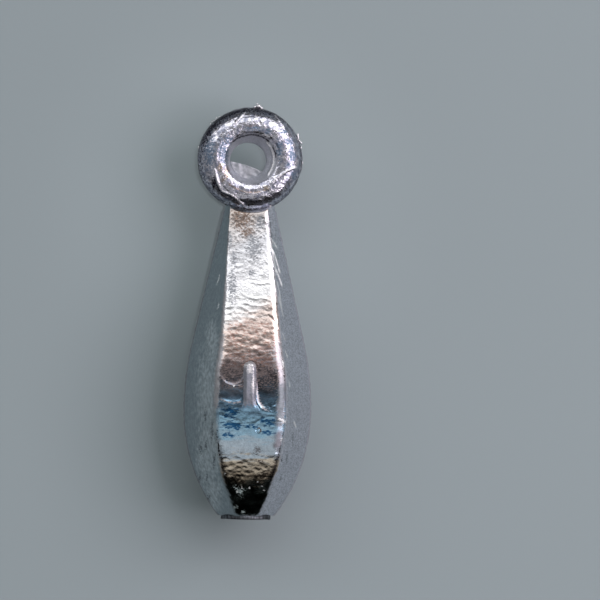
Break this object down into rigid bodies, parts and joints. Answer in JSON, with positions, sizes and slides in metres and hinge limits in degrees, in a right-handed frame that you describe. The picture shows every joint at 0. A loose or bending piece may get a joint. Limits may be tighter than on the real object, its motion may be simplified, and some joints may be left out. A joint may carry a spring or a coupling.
{
  "type": "bank fishing sinker",
  "caption": "Six-sided teardrop weight of cast lead with a ring eye at its thin end, a raised weight mark on its front face and a clipped sprue at its base.",
  "frame": {"origin": "middle of the eye's hole, on the parting plane of the casting", "axes": "the sinker lies on its back face: +Y along the body's axis from the base towards the eye; +Z along the eye's hole, up through the front face with the raised mark; +X to the right seen from above with the eye at the far end"},
  "size_m": [0.0136, 0.0434, 0.0117],
  "materials": {
    "cast_lead": "cast lead, bright under a thin blue, brown and grey oxide bloom",
    "eye_lead": "cast lead, brighter where it is handled, with cold-flow lines",
    "mark_lead": "cast lead, worn bright on the raised stroke",
    "cut_lead": "clipped lead, dull and torn",
    "seam_lead": "thin cast flash, dull",
    "film_lead": "thin cast film, pale"
  },
  "bodies": {
    "root": {"body": "cast_lead", "eye_ring": "eye_lead", "weight_mark": "mark_lead", "sprue_stub": "cut_lead", "seam_fin_left": "seam_lead", "seam_fin_right": "seam_lead", "eye_seam_fin": "seam_lead", "eye_film_flash": "film_lead"}
  },
  "joints": []
}
